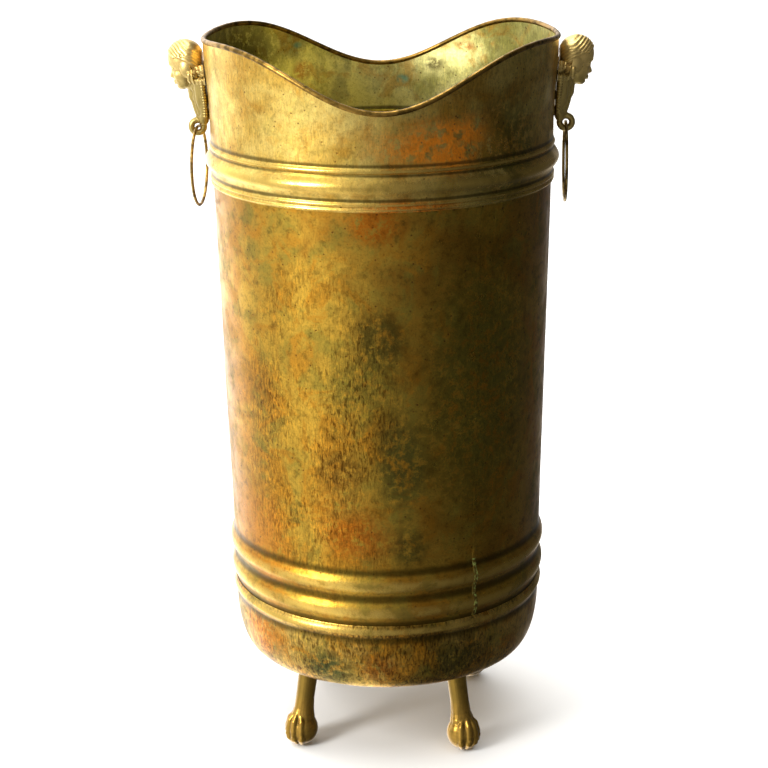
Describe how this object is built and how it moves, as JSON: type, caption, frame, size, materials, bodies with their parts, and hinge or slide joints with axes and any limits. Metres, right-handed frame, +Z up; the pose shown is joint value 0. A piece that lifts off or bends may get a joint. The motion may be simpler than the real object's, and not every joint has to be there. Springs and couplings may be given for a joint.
{
  "type": "umbrella stand",
  "caption": "Round footed brass umbrella stand with a flared, scooped collar, ribbed tube, rounded pan and cast bust handles carrying drop rings.",
  "frame": {"origin": "on the floor, under the middle of the round body", "axes": "+Z up; the two handles are on the X axis; the front faces -Y"},
  "size_m": [0.351, 0.2922, 0.6088],
  "materials": {
    "sheet_brass": "aged, mottled patina over rolled sheet",
    "pan_brass": "aged spun sheet, brown and green stains",
    "rim_brass": "rubbed bright by use",
    "braze": "dull, greenish brazed line",
    "cast_brass": "cast, dark in the hollows",
    "ring_brass": "drawn wire, rubbed",
    "foot_brass": "cast, rubbed bright on the high places",
    "fastener_brass": "turned, dull"
  },
  "bodies": {
    "shell": {"pan": "pan_brass", "body_tube": "sheet_brass", "seam_braze": "braze", "collar": "sheet_brass", "rim_roll": "rim_brass", "bust_left": "cast_brass", "bust_right": "cast_brass", "handle_studs_left": "fastener_brass", "handle_studs_right": "fastener_brass", "handle_spacers_left": "fastener_brass", "handle_spacers_right": "fastener_brass", "handle_washers_left": "fastener_brass", "handle_washers_right": "fastener_brass", "handle_nuts_left": "fastener_brass", "handle_nuts_right": "fastener_brass", "foot_front_left": "foot_brass", "foot_front_right": "foot_brass", "foot_back_left": "foot_brass", "foot_back_right": "foot_brass", "foot_studs": "fastener_brass", "foot_washers": "fastener_brass", "foot_nuts": "fastener_brass"},
    "drop_ring_left": {"ring_left": "ring_brass"},
    "drop_ring_right": {"ring_right": "ring_brass"}
  },
  "joints": [
    {"name": "ring_left_swing", "type": "hinge", "parent": "shell", "child": "drop_ring_left", "pos_m": [-0.15158, 0, 0.5322], "axis": [0.1045, 0.9945, 0], "range_deg": [-8, 150]},
    {"name": "ring_right_swing", "type": "hinge", "parent": "shell", "child": "drop_ring_right", "pos_m": [0.15158, 0, 0.5322], "axis": [-0.0523, -0.9986, 0], "range_deg": [-8, 150]}
  ]
}
